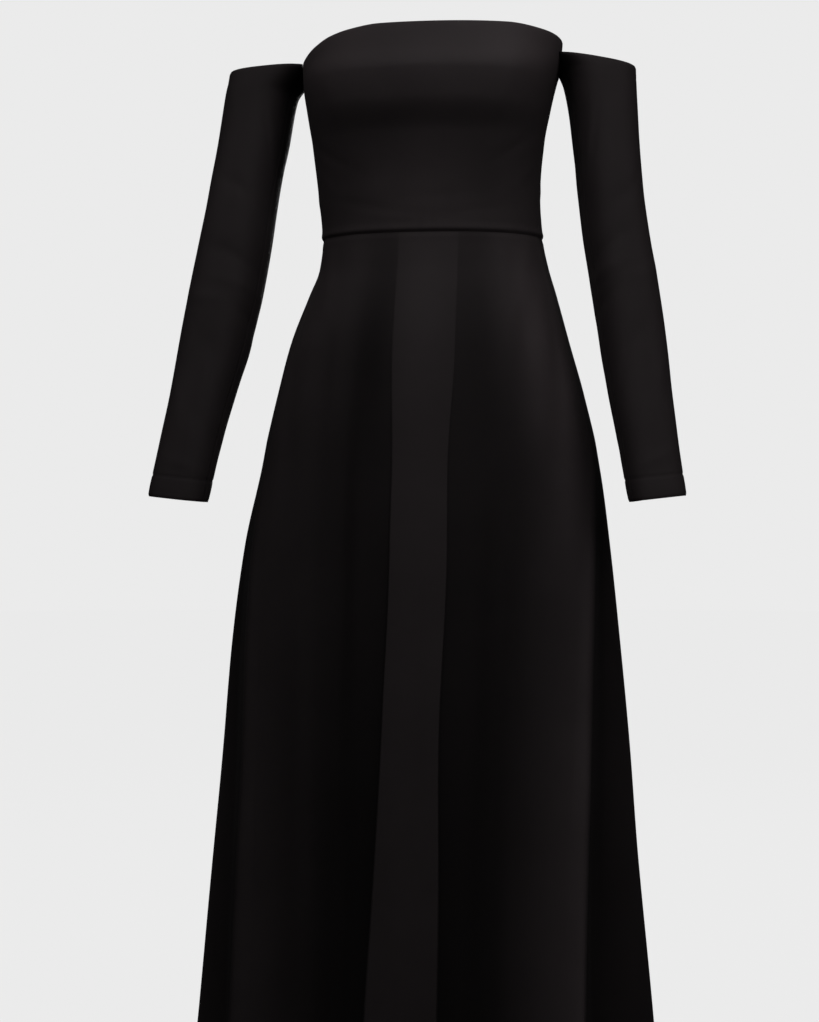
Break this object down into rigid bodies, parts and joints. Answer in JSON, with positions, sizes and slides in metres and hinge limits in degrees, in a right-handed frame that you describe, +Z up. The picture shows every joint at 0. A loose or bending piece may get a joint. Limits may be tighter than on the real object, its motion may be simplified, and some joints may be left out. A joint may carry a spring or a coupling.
{
  "type": "off-shoulder dress",
  "caption": "Floor-length off-shoulder dress with long slim sleeves, fitted bodice and flared skirt, filled out and hollow, with a concealed zip at the back.",
  "frame": {"origin": "middle of the chest at the level of the underarms, on the upright axis of the body, where the wearer holds the dress up", "axes": "+Z up towards the neckline, -Y to the front of the dress, +X to the wearer's left"},
  "size_m": [0.6052, 0.5089, 1.297],
  "materials": {
    "crepe": "matt heavy crepe, black, soft sheen",
    "zip_tape": "matt woven tape, black",
    "zip_metal": "satin black enamel"
  },
  "bodies": {
    "dress": {"bodice_front": "crepe", "bodice_back_left": "crepe", "bodice_back_right": "crepe", "sleeve_right": "crepe", "sleeve_left": "crepe", "skirt_front": "crepe", "skirt_back_left": "crepe", "skirt_back_right": "crepe", "zip_tape": "zip_tape", "zip_slider": "zip_metal"},
    "zip_pull": {"zip_pull": "zip_metal"}
  },
  "joints": [
    {"name": "zip_pull_swing", "type": "hinge", "parent": "dress", "child": "zip_pull", "pos_m": [0, 0.0988, 0.014], "axis": [1, 0, 0], "range_deg": [0, 150]}
  ]
}
